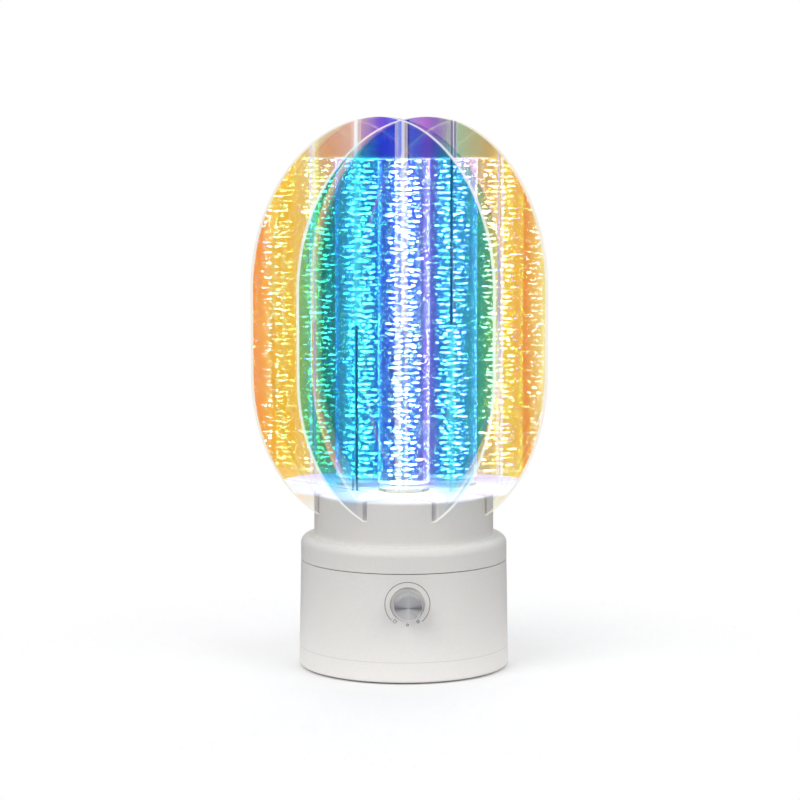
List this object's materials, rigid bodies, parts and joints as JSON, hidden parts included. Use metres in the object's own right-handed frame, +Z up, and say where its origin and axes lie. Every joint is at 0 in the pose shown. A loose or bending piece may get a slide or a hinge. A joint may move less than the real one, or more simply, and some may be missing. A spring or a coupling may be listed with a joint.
{
  "type": "night light",
  "caption": "Cordless night light: white drum base with a dimmer knob and a head of crossed oval iridescent panels round a lit bubble rod.",
  "frame": {"origin": "centre of the foot pad's underside, on the table, under the lamp's axis", "axes": "+Z up through the head, -Y to the front where the knob is, +X to the right seen from the front"},
  "size_m": [0.1462, 0.1462, 0.2661],
  "materials": {
    "pad": "soft matte foam rubber",
    "shell": "fine matte moulded surface",
    "screw": "zinc plated",
    "ballast": "raw steel",
    "black_plastic": "black moulded",
    "contact": "nickel plated spring brass",
    "cell": "shrink sleeve",
    "circuit_board": "solder mask",
    "socket": "stamped shell",
    "dimmer": "pressed can",
    "shaft": "turned",
    "knob": "turned and brushed",
    "heat_plate": "milled",
    "lamp_board": "white solder mask",
    "chip": "phosphor",
    "clear": "clear cast acrylic, polished",
    "rod": "clear acrylic with small bubbles, polished",
    "panel": "clear acrylic with an iridescent film on one face, polished edges"
  },
  "bodies": {
    "lamp": {"foot_pad": "pad", "bottom_cover": "shell", "cover_screws": "screw", "ballast_plate": "ballast", "battery_holder": "black_plastic", "battery_contacts": "contact", "battery_cell": "cell", "holder_screws": "screw", "driver_board": "circuit_board", "driver_parts": "black_plastic", "driver_screws": "screw", "charge_socket": "socket", "base_shell": "shell", "shell_screws": "screw", "dimmer_board": "circuit_board", "dimmer_housing": "dimmer", "dimmer_screws": "screw", "top_cover": "shell", "heat_plate": "heat_plate", "led_board": "lamp_board", "led_chip": "chip", "led_screws": "screw", "rod_seat": "clear", "bubble_rod": "rod", "panel_a_front": "panel", "panel_a_rear": "panel", "panel_b_front": "panel", "panel_b_rear": "panel"},
    "dial": {"knob": "knob", "dimmer_shaft": "shaft"}
  },
  "joints": [
    {"name": "dimmer_turn", "type": "hinge", "parent": "lamp", "child": "dial", "pos_m": [0, -0.05, 0.0382], "axis": [0, -1, 0], "range_deg": [0, 280]}
  ]
}
